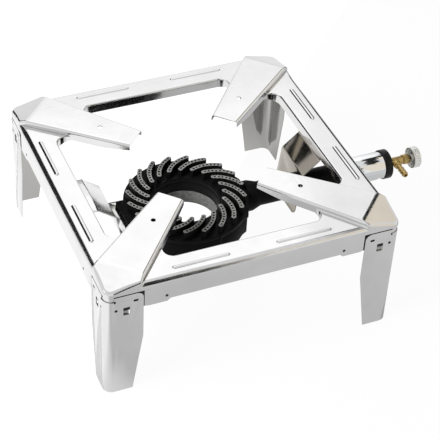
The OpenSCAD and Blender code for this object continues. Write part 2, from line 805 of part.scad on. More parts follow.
// Lower casting without its bores: the drum, its neck and the mixing tube
module body_blank() {
    neck_x = burner_x + body_r - chamber_wall + over;
    translate([burner_x, 0, 0]) intersection() {
        translate([0, 0, body_z]) linear_extrude(deck_low_z - body_z) burner_plan(body_setback);
        rotate_extrude() {
            square([body_r - body_edge_r, deck_low_z]);
            translate([0, body_z + body_edge_r]) square([body_r + body_edge_r, deck_low_z]);
            translate([body_r - body_edge_r, body_z + body_edge_r]) circle(body_edge_r);
        }
    }
    difference() {
        turned([[0, neck_x], [neck_r, neck_x], [neck_r, neck_end_x], [tube_r, neck_end_x + neck_taper],
                [tube_r, sleeve_start_x - bell_taper], [sleeve_in_r, sleeve_start_x], [sleeve_in_r, tube_end_x],
                [0, tube_end_x]]);
        translate([burner_x, 0, deck_low_z]) linear_extrude(big) burner_plan(-head_gap);
    }
}

module burner_body() color("dimgray") placed() {
    difference() {
        body_blank();
        translate([burner_x, 0, 0]) gas_chamber();
        translate([burner_x, 0, 0]) eye();
        turned([[0, burner_x + head_screw_c], [tube_bore_r, burner_x + head_screw_c],
                [tube_bore_r, sleeve_start_x - bell_len], [mouth_r, tube_end_x - mouth_land],
                [mouth_r, tube_end_x + over], [0, tube_end_x + over]]);
        translate([burner_x, 0, body_z - over]) at_head_screws() cylinder(h = deck_z, r = m5_r + screw_gap);
        translate([sleeve_screw_x, 0, 0]) cylinder(h = tube_z - mouth_r, r = sleeve_screw_r + screw_gap);
    }
}

// Bow of one vane: an arc through its two ends
vane_a = [deck_r - vane_setback - vane_w / 2, 0];
vane_b = (vane_in_r + vane_w / 2) * [cos(vane_sweep), sin(vane_sweep)];
vane_chord = norm(vane_b - vane_a);
vane_r = (vane_chord * vane_chord / 4 + vane_bow * vane_bow) / (2 * vane_bow);
vane_mid = (vane_a + vane_b) / 2;
vane_c = vane_mid + left_of(unit(vane_a, vane_b)) * (vane_r - vane_bow);
vane_half_a = asin(vane_chord / 2 / vane_r);
vane_face_a = atan2(vane_mid[1] - vane_c[1], vane_mid[0] - vane_c[0]);
port_share = 1 - 2 * port_inset / vane_chord;

// Places a shape on the arc of a vane, at a share from its outer (-1) to its inner end (1)
module on_vane(share) {
    translate(vane_c) rotate(vane_face_a - share * vane_half_a) translate([vane_r, 0]) children();
}

module vane_plan() {
    fan = 2 * vane_r;
    translate(vane_c) intersection() {
        difference() {
            circle(vane_r + vane_w / 2);
            circle(vane_r - vane_w / 2);
        }
        rotate(vane_face_a) polygon([[0, 0], fan * [cos(vane_half_a), -sin(vane_half_a)], [2 * fan, 0],
                                     fan * [cos(vane_half_a), sin(vane_half_a)]]);
    }
    for (end = [-1, 1]) on_vane(end) circle(vane_w / 2 + vane_swell);
}

module burner_head() color("dimgray") placed() translate([burner_x, 0, 0]) {
    difference() {
        union() {
            translate([0, 0, deck_low_z]) linear_extrude(deck_t) {
                burner_plan(0);
                translate([-lug_end, -lug_half_w]) square([lug_end, 2 * lug_half_w]);
            }
            for (v = [0 : vane_count - 1]) rotate(vane_start + 360 * v / vane_count)
                translate([0, 0, deck_z - deck_t / 2]) linear_extrude(vane_h + deck_t / 2) vane_plan();
        }
        eye();
        for (v = [0 : vane_count - 1], p = [0 : port_count - 1])
            rotate(vane_start + 360 * v / vane_count) on_vane(port_share * (2 * p / (port_count - 1) - 1))
                translate([0, 0, deck_low_z - over]) cylinder(h = deck_z, r = port_d / 2);
        translate([0, 0, deck_low_z - over]) {
            at_head_screws() cylinder(h = screw_bite + over, r = m5_r + screw_gap);
            for (s = [-1, 1]) translate([-lug_screw_at, s * lug_screw_s, 0])
                cylinder(h = screw_bite + over, r = m5_r + screw_gap);
        }
    }
}

// Upright screw with its head below z = 0 and its thread above
module screw_up(length) {
    cylinder(h = length, r = m5_r);
    translate([0, 0, -screw_head_h]) cylinder(h = screw_head_h, r = screw_head_r);
}

module head_screws() color("gray") placed()
    translate([burner_x, 0, body_z]) at_head_screws() screw_up(deck_low_z - body_z + screw_bite - screw_left);

module at_lug_screws() {
    for (s = [-1, 1]) translate([burner_x - lug_screw_at, s * lug_screw_s, deck_low_z - bracket_t])
        children();
}

module lug_screws() color("silver") placed()
    at_lug_screws() translate([0, 0, -washer_t]) screw_up(washer_t + bracket_t + screw_bite - screw_left);

module lug_washers() color("silver") placed() at_lug_screws() translate([0, 0, -washer_t])
    linear_extrude(washer_t) difference() {
        circle(washer_r);
        circle(m5_r + screw_gap);
    }

module mixer_sleeve() color("whitesmoke") placed() difference() {
    turned([[sleeve_in_r + sleeve_gap, sleeve_start_x], [sleeve_r, sleeve_start_x], [sleeve_r, sleeve_end_x],
            [spigot_r + screw_gap, sleeve_end_x], [spigot_r + screw_gap, sleeve_end_x - sleeve_t],
            [sleeve_in_r + sleeve_gap, sleeve_end_x - sleeve_t]]);
    for (s = [-1, 1]) translate([sleeve_end_x - ring_len - air_window_len, 0, tube_z])
        rotate([s * air_window_a, 0, 0]) translate([0, -air_window_w / 2, -2 * sleeve_r])
            cube([air_window_len, air_window_w, 2 * sleeve_r]);
    translate([sleeve_screw_x, 0, 0]) cylinder(h = tube_z, r = sleeve_screw_r + screw_gap);
}

module sleeve_screw() color("gray") placed() translate([sleeve_screw_x, 0, tube_z - sleeve_r]) {
    cylinder(h = sleeve_r - mouth_r - screw_left, r = sleeve_screw_r);
    translate([0, 0, -screw_head_h]) cylinder(h = screw_head_h, r = sleeve_screw_head_r);
}

module air_ring() color("black") placed() {
    bore = sleeve_r + ring_fit;
    edge = ring_wall / 2;
    ring_r = bore + ring_wall;
    turned([[bore, sleeve_end_x - ring_len], [ring_r - edge, sleeve_end_x - ring_len],
            [ring_r, sleeve_end_x - ring_len + edge], [ring_r, sleeve_end_x - edge],
            [ring_r - edge, sleeve_end_x], [bore, sleeve_end_x]]);
}

module valve_body() color("goldenrod") placed() difference() {
    jet_bore_r = jet_r + stem_fit;
    inner_x = valve_x - spigot_len;
    union() {
        turned([[0, inner_x], [spigot_r, inner_x], [spigot_r, valve_x],
                [shoulder_r, valve_x], [shoulder_r, valve_x + shoulder_t],
                [barrel_r, valve_x + shoulder_t + shoulder_slope], [barrel_r, gland_x - seat_gap],
                [gland_thread_r, gland_x - seat_gap], [gland_thread_r, barrel_end_x], [0, barrel_end_x]]);
        translate([barb_x, 0, tube_z]) rotate([90, 0, 0]) cylinder(h = boss_len, r = boss_outer_r);
    }
    turned([[0, inner_x - over], [jet_bore_r, inner_x - over], [jet_bore_r, valve_x - over],
            [seat_r, valve_x], [seat_r, seat_x], [stem_thread_r + chamber_gap, chamber_x],
            [stem_thread_r + chamber_gap, guide_x], [stem_thread_r + stem_fit, guide_x],
            [stem_thread_r + stem_fit, packing_x], [packing_r, packing_x], [packing_r, barrel_end_x + over],
            [0, barrel_end_x + over]]);
    translate([barb_x, 0, tube_z]) rotate([90, 0, 0]) {
        cylinder(h = boss_len, r = barb_bore_r);
        translate([0, 0, boss_len - barb_root_len - stem_fit])
            cylinder(h = barb_root_len + over, r = barb_root_r + stem_fit);
    }
}

module lock_nut() color("goldenrod") placed() translate([valve_x - sleeve_t - nut_len, 0, tube_z])
    rotate([0, 90, 0]) linear_extrude(nut_len) difference() {
        circle(nut_r, $fn = hex);
        circle(spigot_r + stem_fit);
    }

module gas_jet() color("darkgoldenrod") placed() {
    seat = valve_x - spigot_len;
    cone_x = seat - jet_head_len;
    tip_x = cone_x - jet_cone_len;
    turned([[jet_bore, seat + jet_root_len], [jet_r, seat + jet_root_len], [jet_r, seat], [jet_head_r, seat],
            [jet_head_r, cone_x], [jet_tip_r, tip_x], [jet_hole, tip_x], [jet_hole, tip_x + jet_hole_len],
            [jet_bore, tip_x + jet_hole_len + jet_bore - jet_hole]]);
}

// Hose barb along -Y: threaded root, collar, shank and ridges with short cylindrical lands
module hose_barb() color("goldenrod") placed() translate([barb_x, 0, tube_z]) rotate([90, 0, 0]) {
    root = boss_len - barb_root_len;
    collar_end = boss_len + collar_t;
    difference() {
        rotate_extrude() polygon(concat(
            [[0, root], [barb_root_r, root], [barb_root_r, boss_len], [collar_r, boss_len],
             [collar_r, collar_end], [shank_r, collar_end + barb_slope]],
            [for (k = [ridge_count - 1 : -1 : 0])
                let (tip = barb_reach - barb_tip - k * ridge_pitch, back = tip - ridge_pitch + groove_len)
                each [[shank_r, back], [barb_r, back + barb_slope], [barb_r, back + barb_slope + land],
                      [shank_r, tip]]],
            [[shank_r, barb_reach - barb_slope], [shank_r - barb_slope, barb_reach], [0, barb_reach]]));
        cylinder(h = 2 * barb_reach, r = barb_bore_r, center = true);
    }
}

module gland_nut() color("goldenrod") placed() translate([gland_x, 0, tube_z]) rotate([0, 90, 0])
    difference() {
        intersection() {
            linear_extrude(gland_len) circle(gland_r, $fn = hex);
            rotate_extrude() polygon([[0, 0], [gland_r, 0], [gland_r, gland_len - gland_chamfer],
                                      [gland_r - gland_cone, gland_len], [0, gland_len]]);
        }
        translate([0, 0, -over]) cylinder(h = gland_in + over + seat_gap, r = gland_thread_r + stem_fit);
        cylinder(h = 2 * gland_len, r = stem_r + stem_fit);
    }

module gland_packing() color("black") placed()
    turned([[stem_r + stem_fit, packing_x], [packing_r - stem_fit, packing_x],
            [packing_r - stem_fit, barrel_end_x], [stem_r + stem_fit, barrel_end_x]]);

// Needle stem at rest with the valve shut
module valve_stem() color("darkgoldenrod") placed() {
    shaft = seat_r + needle_step;
    screw_hole = knob_screw_r + stem_fit;
    turned([[0, seat_x - needle_len], [needle_tip_r, seat_x - needle_len], [seat_r - needle_gap, seat_x],
            [shaft, chamber_x + needle_step], [shaft, thread_x], [stem_thread_r, thread_x],
            [stem_thread_r, thread_x + thread_len], [stem_r, thread_x + thread_len], [stem_r, stem_end_x],
            [screw_hole, stem_end_x], [screw_hole, stem_end_x - knob_screw_len],
            [0, stem_end_x - knob_screw_len]]);
}

module valve_knob() color("whitesmoke") placed() difference() {
    bore = stem_r + stem_fit;
    screw_hole = knob_screw_r + stem_fit;
    inner_r = knob_r - knob_wall;
    face_x = knob_end_x - knob_face;
    turned([[bore, knob_x], [knob_hub_r, knob_x], [knob_hub_r, face_x], [inner_r, face_x], [inner_r, knob_x],
            [knob_r - knob_rim_chamfer, knob_x], [knob_r, knob_x + knob_rim_chamfer],
            [knob_r, knob_end_x - knob_chamfer], [knob_r - knob_chamfer, knob_end_x], [screw_hole, knob_end_x],
            [screw_hole, stem_end_x + stem_fit], [bore, stem_end_x + stem_fit]]);
    for (g = [0 : knob_grooves - 1]) translate([0, 0, tube_z]) rotate([360 * g / knob_grooves, 0, 0])
        translate([knob_x - over, 0, knob_r + groove_up]) rotate([0, 90, 0])
            cylinder(h = knob_len - knob_chamfer, r = groove_r);
}

module knob_screw() color("silver") placed() {
    start = stem_end_x - knob_screw_len + screw_left;
    difference() {
        turned([[0, start], [knob_screw_r, start], [knob_screw_r, knob_end_x], [knob_screw_head_r, knob_end_x],
                [knob_screw_head_r, right_x - knob_slot_w], [knob_screw_head_r - knob_slot_w, right_x],
                [0, right_x]]);
        translate([right_x, 0, tube_z])
            cube([2 * knob_slot_w, 4 * knob_screw_head_r, knob_slot_w], center = true);
    }
}

stand_frame();
leg_front_left();
leg_front_right();
leg_rear_right();
leg_rear_left();
lug_bracket();
tube_bracket();
burner_body();
burner_head();
head_screws();
lug_screws();
lug_washers();
mixer_sleeve();
sleeve_screw();
air_ring();
valve_body();
lock_nut();
gas_jet();
hose_barb();
gland_nut();
gland_packing();
valve_stem();
valve_knob();
knob_screw();
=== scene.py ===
import math

import bmesh
import bpy
from mathutils import Matrix, Vector


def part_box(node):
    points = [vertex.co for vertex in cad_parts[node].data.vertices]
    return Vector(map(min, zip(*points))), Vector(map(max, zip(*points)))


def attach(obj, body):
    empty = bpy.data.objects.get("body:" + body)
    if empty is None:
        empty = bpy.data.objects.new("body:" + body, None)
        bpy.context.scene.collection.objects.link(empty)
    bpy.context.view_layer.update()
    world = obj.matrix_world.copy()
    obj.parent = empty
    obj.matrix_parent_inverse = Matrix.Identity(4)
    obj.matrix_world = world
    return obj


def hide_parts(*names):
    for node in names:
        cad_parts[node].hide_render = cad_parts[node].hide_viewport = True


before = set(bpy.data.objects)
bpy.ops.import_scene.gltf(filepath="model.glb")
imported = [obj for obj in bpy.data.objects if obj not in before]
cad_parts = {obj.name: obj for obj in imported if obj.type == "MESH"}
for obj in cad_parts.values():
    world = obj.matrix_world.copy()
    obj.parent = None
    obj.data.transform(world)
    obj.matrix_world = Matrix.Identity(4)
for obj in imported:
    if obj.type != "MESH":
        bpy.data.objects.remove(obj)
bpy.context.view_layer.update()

# Stand top: one sheet of polished stainless steel, pressed into four side panels with aprons, a
# flanged window and four raised arms that carry the pan. An eighth of its skin is modelled and
# mirrored round the square, then every bend is rounded and the sheet gets its thickness.
mm = 0.001
stand_low, stand_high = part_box("stand_frame")
stand_mid = Vector(((stand_low.x + stand_high.x) / 2, 0, 0))
half_side = (stand_high.x - stand_low.x) / 2
sheet = 1.0 * mm
arm_top = stand_high.z
panel_drop = 7.7 * mm
panel_top = arm_top - panel_drop
panel_width = 37 * mm
window_edge = half_side - panel_width
window_round = 13 * mm
flange_depth = 14 * mm
flange_foot = panel_top - flange_depth
corner_round = 12 * mm
facet_length = 37.9 * mm
facet_drop = 12.5 * mm
facet_fall = facet_drop / facet_length
arm_tip = 91 * mm
arm_crease = math.sqrt(2) * half_side - (math.sqrt(2) - 1) * corner_round - facet_length
arm_tip_half = 19 * mm
arm_root_half = 32.2 * mm
arm_depth = 14 * mm
arm_foot = arm_top - arm_depth
arm_tip_depth = 8.5 * mm
arm_tip_foot = arm_top - arm_tip_depth
apron_depth = 33.3 * mm
apron_foot = panel_top - apron_depth
ear_foot = stand_low.z
ear_length = 85 * mm
ear_start = half_side - ear_length
ear_slope = 4 * mm
joggle_drop = 17.8 * mm
joggle_top = arm_top - joggle_drop
joggle_fall = 0.6 * mm
joggle_depth = 1.15 * mm
joggle_length = 57 * mm
joggle_start = half_side - joggle_length
joggle_slope = 5.5 * mm
joggle_end = joggle_start + joggle_slope


def on_diagonal(along, across, height):
    """A point of the sheet given along and across the stand's diagonal."""
    return Vector(((along + across) / math.sqrt(2), (along - across) / math.sqrt(2), height))


def facet_height(point):
    """Height of the sloping corner facet over a point of the plan."""
    return arm_top - ((point.x + point.y) / math.sqrt(2) - arm_crease) * facet_fall


def raised(point, height):
    """The same point of the plan at another height."""
    return Vector((point.x, point.y, height))


arm_lean = math.atan2(arm_root_half - arm_tip_half, arm_crease - arm_tip)
wall_angle = math.radians(45) - arm_lean
wall_along = Vector((math.cos(wall_angle), math.sin(wall_angle), 0))
tip_side = on_diagonal(arm_tip, arm_tip_half, arm_top)
crease_side = on_diagonal(arm_crease, arm_root_half, arm_top)
wall_end = tip_side + wall_along * ((half_side - tip_side.x) / wall_along.x)
round_x = window_edge - window_round
round_y = tip_side.y + ((round_x - tip_side.x) * wall_along.y - window_round) / wall_along.x
round_middle = Vector((round_x, round_y, panel_top))
round_steps = 8
round_turn = math.pi / 2 + wall_angle

# The flat panel lies between the window's edge, with its round corner, and the stand's outer rim.
skin = bmesh.new()
window_line = [Vector((window_edge, 0, panel_top))]
for step in range(round_steps + 1):
    turn = round_turn * step / round_steps
    window_line.append(round_middle + window_round * Vector((math.cos(turn), math.sin(turn), 0)))
joggle_lead = 8 * mm
rim_stops = [0, round_y, ear_start, ear_start + ear_slope, joggle_start - joggle_lead]
while len(rim_stops) < len(window_line) - 1:
    rim_stops.insert(2, (rim_stops[1] + rim_stops[2]) / 2)
rim_stops.append(wall_end.y)
rim_line = [Vector((half_side, stop, panel_top)) for stop in rim_stops]
inner_verts = [skin.verts.new(point) for point in window_line]
outer_verts = [skin.verts.new(point) for point in rim_line]
for a, b, c, d in zip(inner_verts, outer_verts, outer_verts[1:], inner_verts[1:]):
    skin.faces.new((a, b, c, d))

# The arm has a wall that rises from the panel, a level top, and a facet that slopes to the corner.
wall_foot_in = inner_verts[-1]
wall_foot_out = outer_verts[-1]
wall_top_in = skin.verts.new(raised(wall_foot_in.co, arm_top))
wall_top_out = skin.verts.new(raised(wall_foot_out.co, facet_height(wall_foot_out.co)))
crease_out = skin.verts.new(crease_side)
crease_mid = skin.verts.new(on_diagonal(arm_crease, 0, arm_top))
tip_out = skin.verts.new(tip_side)
tip_mid = skin.verts.new(on_diagonal(arm_tip, 0, arm_top))
skin.faces.new((wall_foot_in, wall_foot_out, wall_top_out, crease_out, wall_top_in))
skin.faces.new((tip_mid, tip_out, wall_top_in, crease_out, crease_mid))

corner_middle = Vector((half_side - corner_round, half_side - corner_round, 0))
corner_start = corner_middle + Vector((corner_round, 0, 0))
corner_steps = 4
facet_shares = (0.25, 0.55)
facet_line = [wall_end.lerp(corner_start, share) for share in facet_shares]
for step in range(corner_steps + 1):
    turn = math.radians(45) * step / corner_steps
    facet_line.append(corner_middle + corner_round * Vector((math.cos(turn), math.sin(turn), 0)))
facet_rim = [skin.verts.new(raised(point, facet_height(point))) for point in facet_line]
skin.faces.new([crease_mid, crease_out, wall_top_out] + facet_rim)

# The arm's free side hangs down past the window, less deep towards the tip.
foot_share = 0.45
free_foot_mid = skin.verts.new(raised(tip_side.lerp(wall_top_in.co, foot_share), arm_foot))
free_foot_in = skin.verts.new(raised(wall_foot_in.co, arm_foot))
free_foot_tip = skin.verts.new(raised(tip_side, arm_tip_foot))
skin.faces.new((tip_out, free_foot_tip, free_foot_mid, free_foot_in, wall_foot_in, wall_top_in))


def chain(verts):
    """The edges from each vertex to the next."""
    return [skin.edges.get((a, b)) for a, b in zip(verts, verts[1:])]


panel_bend = 7.5 * mm
facet_bend = 4.6 * mm
facet_bend_at_wall = 3.0 * mm
facet_side_bend = 2.6 * mm
arm_bend = 4.0 * mm
wall_foot_bend = 1.5 * mm
wall_end_bend = 1.2 * mm
window_bend = 2.6 * mm
window_bend_at_arm = 0.6 * mm
taper_edges = 4
soft = skin.edges.layers.float.new("bevel_weight_edge")
panel_rim = chain(outer_verts)
window_fold = chain(inner_verts)
facet_edges = chain([wall_top_out] + facet_rim)
bend_sets = [
    (panel_rim, panel_bend),
    (facet_edges[:1], facet_bend_at_wall),
    (facet_edges[1:2], (facet_bend_at_wall + facet_bend) / 2),
    (facet_edges[2:], facet_bend),
    (chain([crease_out, wall_top_out]), facet_side_bend),
    (chain([tip_out, wall_top_in, crease_out]), arm_bend),
    (chain([crease_mid, crease_out]), arm_bend),
    (chain([wall_foot_in, wall_foot_out]), wall_foot_bend),
    (chain([wall_foot_out, wall_top_out]), wall_end_bend),
]
for step, edge in enumerate(reversed(window_fold)):
    share = max(0, 1 - step / taper_edges)
    bend_sets.append(([edge], window_bend + (window_bend_at_arm - window_bend) * share))


def hang_down(edges, place):
    """Extrudes a chain of edges and puts each new vertex where place says."""
    made = bmesh.ops.extrude_edge_only(skin, edges=edges)["geom"]
    for vert in made:
        if isinstance(vert, bmesh.types.BMVert):
            vert.co = place(vert.co.copy())
    return [edge for edge in made if isinstance(edge, bmesh.types.BMEdge)]


def joggled(point):
    """The apron steps in behind the legs, so that they lie flush with it."""
    share = min(1, max(0, (point.y - joggle_start) / joggle_slope))
    inward = Vector((-1, 0, 0))
    if point.y > corner_middle.y:
        inward = -(raised(point, 0) - corner_middle).normalized()
    return raised(point + inward * joggle_depth * share, joggle_top - joggle_fall)


def apron_edge(point):
    """The apron's lower edge, which drops to an ear near each corner."""
    share = min(1, max(0, (point.y - ear_start) / ear_slope))
    return raised(point, apron_foot + (ear_foot - apron_foot) * share)


def flange_edge(point):
    """The window's flange grows shallower round the corner, down to the arm's own side."""
    turn = math.atan2(point.y - round_middle.y, point.x - round_middle.x)
    share = max(0, turn / round_turn) if point.y > round_y else 0
    return raised(point, flange_foot + (arm_foot - flange_foot) * share * share)


# The apron hangs from the rim in three steps: down to the joggle, in behind the legs, and to its edge.
lower = hang_down(panel_rim + facet_edges, lambda point: raised(point, joggle_top))
for seam in wall_top_out.link_edges[:]:
    low = seam.other_vert(wall_top_out).co
    if low.z < panel_top - mm and abs(low.y - wall_end.y) < mm:
        share = (wall_top_out.co.z - panel_top) / (wall_top_out.co.z - low.z)
        bmesh.utils.edge_split(seam, wall_top_out, share)
for stop in (joggle_start, joggle_end):
    for edge in lower[:]:
        near, far = sorted(edge.verts, key=lambda vert: vert.co.y)
        if near.co.y < stop < far.co.y < corner_middle.y - mm:
            share = (stop - near.co.y) / (far.co.y - near.co.y)
            lower.append(bmesh.utils.edge_split(edge, near, share)[0])
lower = hang_down(lower, joggled)
hang_down(lower, apron_edge)
# The apron behind the legs is painted near black here, as painted shade between leg and apron.
painted_shade_slot = 2
near_enough = 0.1 * mm
for edge in lower:
    if all(joggle_end - near_enough < vert.co.y < corner_middle.y + near_enough for vert in edge.verts):
        for face in edge.link_faces:
            face.material_index = painted_shade_slot
hang_down(window_fold, flange_edge)
for edges, size in bend_sets:
    for edge in edges:
        edge[soft] = size / panel_bend

# The eighth is mirrored to a quarter, which is turned twice to close the square.
merge_gap = 0.02 * mm
swap_sides = Matrix(((0, 1, 0, 0), (1, 0, 0, 0), (0, 0, 1, 0), (0, 0, 0, 1)))
for turn in (swap_sides, Matrix.Rotation(math.pi, 4, "Z"), Matrix.Rotation(math.pi / 2, 4, "Z")):
    copied = bmesh.ops.duplicate(skin, geom=skin.verts[:] + skin.edges[:] + skin.faces[:])["geom"]
    copied = [vert for vert in copied if isinstance(vert, bmesh.types.BMVert)]
    bmesh.ops.transform(skin, matrix=turn, verts=copied)
bmesh.ops.remove_doubles(skin, verts=skin.verts, dist=merge_gap)
bmesh.ops.recalc_face_normals(skin, faces=skin.faces)
if sum(face.normal.z * face.calc_area() for face in skin.faces) < 0:
    bmesh.ops.reverse_faces(skin, faces=skin.faces)
bmesh.ops.translate(skin, verts=skin.verts, vec=stand_mid)


def new_piece(name, shape):
    """An object at the origin from a bmesh, which is then done with."""
    mesh = bpy.data.meshes.new(name)
    shape.to_mesh(mesh)
    shape.free()
    made = bpy.data.objects.new(name, mesh)
    bpy.context.scene.collection.objects.link(made)
    return made


stand_top = new_piece("stand_top", skin)
bends = stand_top.modifiers.new("bends", "BEVEL")
bends.limit_method = "WEIGHT"
bends.width = panel_bend
bends.segments = 6
bends.use_clamp_overlap = False
gauge = stand_top.modifiers.new("gauge", "SOLIDIFY")
gauge.thickness = sheet
gauge.offset = -1
gauge.material_offset = 1

# Punched holes of the sheet: one right through each arm and two small ones in each apron, cut by the
# press. The small ones are shallow recesses here. The faces of all the holes are painted near black, as
# painted shade for the depth behind.
arm_hole = 101.5 * mm
arm_hole_size = 3.3 * mm
arm_hole_depth = 6 * mm
apron_hole_from_corner = 80 * mm
apron_hole = half_side - apron_hole_from_corner
apron_hole_drop = 35.4 * mm
apron_hole_size = 2.0 * mm
recess = 0.6 * mm
hole_sides = 28
punch = bmesh.new()


def punch_hole(place, size, depth, turn):
    """A round punch of a given radius that reaches as deep behind the surface as in front of it."""
    made = bmesh.ops.create_cone(
        punch, cap_ends=True, segments=hole_sides, radius1=size, radius2=size, depth=2 * depth)
    bmesh.ops.transform(punch, matrix=Matrix.Translation(place) @ turn, verts=made["verts"])


for quarter in range(4):
    spin = Matrix.Rotation(math.pi / 2 * quarter, 4, "Z")
    sideways = spin @ Matrix.Rotation(math.pi / 2, 4, "Y")
    arm_place = stand_mid + spin @ Vector((arm_hole, arm_hole, arm_top))
    punch_hole(arm_place, arm_hole_size, arm_hole_depth, Matrix.Identity(4))
    for side in (-1, 1):
        on_apron = Vector((half_side, side * apron_hole, arm_top - apron_hole_drop))
        punch_hole(stand_mid + spin @ on_apron, apron_hole_size, recess, sideways)
punches = new_piece("punches", punch)
cut = stand_top.modifiers.new("holes", "BOOLEAN")
cut.operation = "DIFFERENCE"
cut.object = punches
cut.solver = "MANIFOLD"
cut.material_mode = "TRANSFER"

# Beads: two shallow ribs along each side panel, rolled up out of the same sheet to stiffen it. Each is
# a bar with round ends that is flat below, set half way into the sheet's thickness and joined to it.
bead_length = 79 * mm
bead_start = 30 * mm
bead_from_edge = 16 * mm
bead_size = 4.2 * mm
bead_rise = 1.3 * mm
bead_sides = 24
rolled = bmesh.new()
for quarter in range(4):
    spin = Matrix.Rotation(math.pi / 2 * quarter, 4, "Z")
    for side in (-1, 1):
        made = bmesh.ops.create_uvsphere(
            rolled, u_segments=bead_sides, v_segments=bead_sides, radius=bead_size)
        rib = made["verts"]
        bmesh.ops.rotate(rolled, verts=rib, cent=(0, 0, 0), matrix=Matrix.Rotation(math.pi / 2, 3, "X"))
        for vert in rib:
            vert.co.y += math.copysign(bead_length / 2 - bead_size, vert.co.y)
            vert.co.z = max(vert.co.z, bead_size - bead_rise - sheet / 2)
        middle = Vector((half_side - bead_from_edge, side * (bead_start + bead_length / 2), 0))
        middle.z = panel_top + bead_rise - bead_size
        placed = Matrix.Translation(stand_mid) @ spin @ Matrix.Translation(middle)
        bmesh.ops.transform(rolled, matrix=placed, verts=rib)
ribs = new_piece("ribs", rolled)
swage = stand_top.modifiers.new("beads", "BOOLEAN")
swage.operation = "UNION"
swage.object = ribs
swage.solver = "MANIFOLD"

# Finish of the stand: the sheet is polished on its outer side, with fine rolling grain and faint lines
# from the press. Inside it has the duller finish of the rolling mill, in a darker grey that is partly
# painted shade for the stand's shaded inside. The cut faces of the holes and the apron behind the legs
# are painted near black, as painted shade.
steel = (0.735, 0.735, 0.735)
stand_grain = (0.3, 0.3, 1)
# The inner side's grey is partly the mill finish and partly painted shade for the stand's shaded inside.
mill_grey_and_painted_shade = (0.30, 0.30, 0.295)
mill_grain = (0.1, 0.1, 1)
painted_shade_black = (0.012, 0.011, 0.010)
sharp_edge = math.radians(32)


def new_finish(name, metallic, colour, roughness):
    """A material and its shader, still even all over."""
    made = bpy.data.materials.new(name)
    made.use_nodes = True
    shader = made.node_tree.nodes["Principled BSDF"]
    shader.inputs["Metallic"].default_value = metallic
    shader.inputs["Base Color"].default_value = (*colour, 1)
    shader.inputs["Roughness"].default_value = roughness
    return made, shader


def noise(finish, scale, stretch=(1, 1, 1), detail=4.0):
    """Noise on the piece's own coordinates, stretched along one way for grain."""
    tree = finish.node_tree
    place = tree.nodes.new("ShaderNodeTexCoord")
    stretched = tree.nodes.new("ShaderNodeMapping")
    stretched.inputs["Scale"].default_value = stretch
    made = tree.nodes.new("ShaderNodeTexNoise")
    made.inputs["Scale"].default_value = scale
    made.inputs["Detail"].default_value = detail
    tree.links.new(place.outputs["Object"], stretched.inputs["Vector"])
    tree.links.new(stretched.outputs["Vector"], made.inputs["Vector"])
    return made.outputs["Fac"]


def between(finish, value, low, high, from_low=0.3, from_high=0.7):
    """A value spread from one range, by default that of noise, over another, and held at its ends."""
    made = finish.node_tree.nodes.new("ShaderNodeMapRange")
    made.inputs["From Min"].default_value = from_low
    made.inputs["From Max"].default_value = from_high
    made.inputs["To Min"].default_value = low
    made.inputs["To Max"].default_value = high
    finish.node_tree.links.new(value, made.inputs["Value"])
    return made.outputs["Result"]


def tinted(finish, value, low, high):
    """A colour between two, by a value from 0 to 1."""
    made = finish.node_tree.nodes.new("ShaderNodeMix")
    made.data_type = "RGBA"
    made.inputs["A"].default_value = (*low, 1)
    made.inputs["B"].default_value = (*high, 1)
    finish.node_tree.links.new(value, made.inputs["Factor"])
    return made.outputs["Result"]


def bumped(finish, height, strength, depth, over=None):
    """A bump from a height value, laid over another one if given."""
    made = finish.node_tree.nodes.new("ShaderNodeBump")
    made.inputs["Strength"].default_value = strength
    made.inputs["Distance"].default_value = depth
    finish.node_tree.links.new(height, made.inputs["Height"])
    if over is not None:
        finish.node_tree.links.new(over, made.inputs["Normal"])
    return made.outputs["Normal"]


def press_lines(finish):
    """Faint lines that run along every side of the stand, left by the press."""
    tree = finish.node_tree
    place = tree.nodes.new("ShaderNodeTexCoord")
    centred = tree.nodes.new("ShaderNodeVectorMath")
    centred.operation = "SUBTRACT"
    centred.inputs[1].default_value = stand_mid
    folded = tree.nodes.new("ShaderNodeVectorMath")
    folded.operation = "ABSOLUTE"
    split = tree.nodes.new("ShaderNodeSeparateXYZ")
    outward = tree.nodes.new("ShaderNodeMath")
    outward.operation = "MAXIMUM"
    made = tree.nodes.new("ShaderNodeTexNoise")
    made.noise_dimensions = "1D"
    made.inputs["Scale"].default_value = 260
    made.inputs["Detail"].default_value = 3
    tree.links.new(place.outputs["Object"], centred.inputs[0])
    tree.links.new(centred.outputs["Vector"], folded.inputs[0])
    tree.links.new(folded.outputs["Vector"], split.inputs["Vector"])
    tree.links.new(split.outputs["X"], outward.inputs[0])
    tree.links.new(split.outputs["Y"], outward.inputs[1])
    tree.links.new(outward.outputs["Value"], made.inputs["W"])
    return made.outputs["Fac"]


def polished_sheet(name, stretch, colour, ripple, lines=None):
    """Polished stainless sheet: fine rolling grain, a few handling marks and slight ripples."""
    made, shader = new_finish(name, metallic=1.0, colour=colour, roughness=0.1)
    grain = noise(made, scale=260, stretch=stretch, detail=6)
    marks = noise(made, scale=22)
    waves = noise(made, scale=30, stretch=stretch, detail=1)
    wear = 0.93
    worn = [wear * part for part in colour]
    links = made.node_tree.links
    links.new(tinted(made, between(made, marks, 0, 1), worn, colour), shader.inputs["Base Color"])
    links.new(between(made, grain, low=0.09, high=0.18), shader.inputs["Roughness"])
    surface = bumped(made, waves, strength=ripple, depth=1.0 * mm)
    if lines is not None:
        surface = bumped(made, lines(made), strength=0.1, depth=0.5 * mm, over=surface)
    surface = bumped(made, grain, strength=0.02, depth=0.04 * mm, over=surface)
    links.new(surface, shader.inputs["Normal"])
    return made


def mottled(name, metallic, colour, scale, smooth, rough, stretch=(1, 1, 1)):
    """A plain finish that is smoother in some spots than in others."""
    made, shader = new_finish(name, metallic, colour, rough)
    spots = between(made, noise(made, scale, stretch), smooth, rough)
    made.node_tree.links.new(spots, shader.inputs["Roughness"])
    return made


